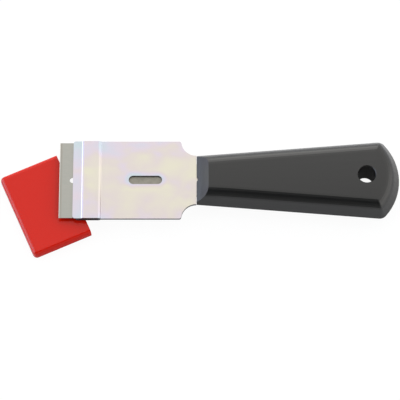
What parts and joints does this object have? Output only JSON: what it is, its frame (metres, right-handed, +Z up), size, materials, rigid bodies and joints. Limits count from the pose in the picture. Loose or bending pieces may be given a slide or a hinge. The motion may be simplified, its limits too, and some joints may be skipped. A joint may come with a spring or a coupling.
{
  "type": "glass scraper",
  "caption": "Glass scraper with a straight blade on a slide in a pressed steel head, a moulded plastic handle with a hang hole, and a pull-off blade cap.",
  "frame": {"origin": "middle of the handle's length, on its centre line, on the flat underside that it lies on", "axes": "+X from the blade to the handle's end, +Y across the tool, +Z up from the surface that it lies on"},
  "size_m": [0.2149, 0.0634, 0.02],
  "materials": {
    "handle_plastic": "black moulded plastic, satin",
    "zinc_plated_sheet": "bright zinc-plated sheet steel, softly clouded",
    "blade_steel": "ground carbon steel strip",
    "plain_steel": "plain grey steel strip, dull",
    "spring_steel": "spring steel, dull",
    "cap_plastic": "red moulded plastic, satin gloss"
  },
  "bodies": {
    "scraper_frame": {"handle": "handle_plastic", "front_plate": "zinc_plated_sheet", "back_plate": "zinc_plated_sheet"},
    "blade_slide": {"blade": "blade_steel", "blade_carrier": "plain_steel", "guide_key": "plain_steel", "slider_rivet_front": "plain_steel", "slider_rivet_rear": "plain_steel", "thumb_button": "handle_plastic", "friction_spring": "spring_steel"},
    "loose_cap": {"blade_cap": "cap_plastic"}
  },
  "joints": [
    {"name": "blade_retract", "type": "slide", "parent": "scraper_frame", "child": "blade_slide", "axis": [1, 0, 0], "range_m": [0, 0.006]},
    {"name": "cap_pull_off", "type": "slide", "parent": "scraper_frame", "child": "loose_cap", "axis": [-0.9143, -0.4051, 0], "range_m": [0, 0.08]}
  ]
}
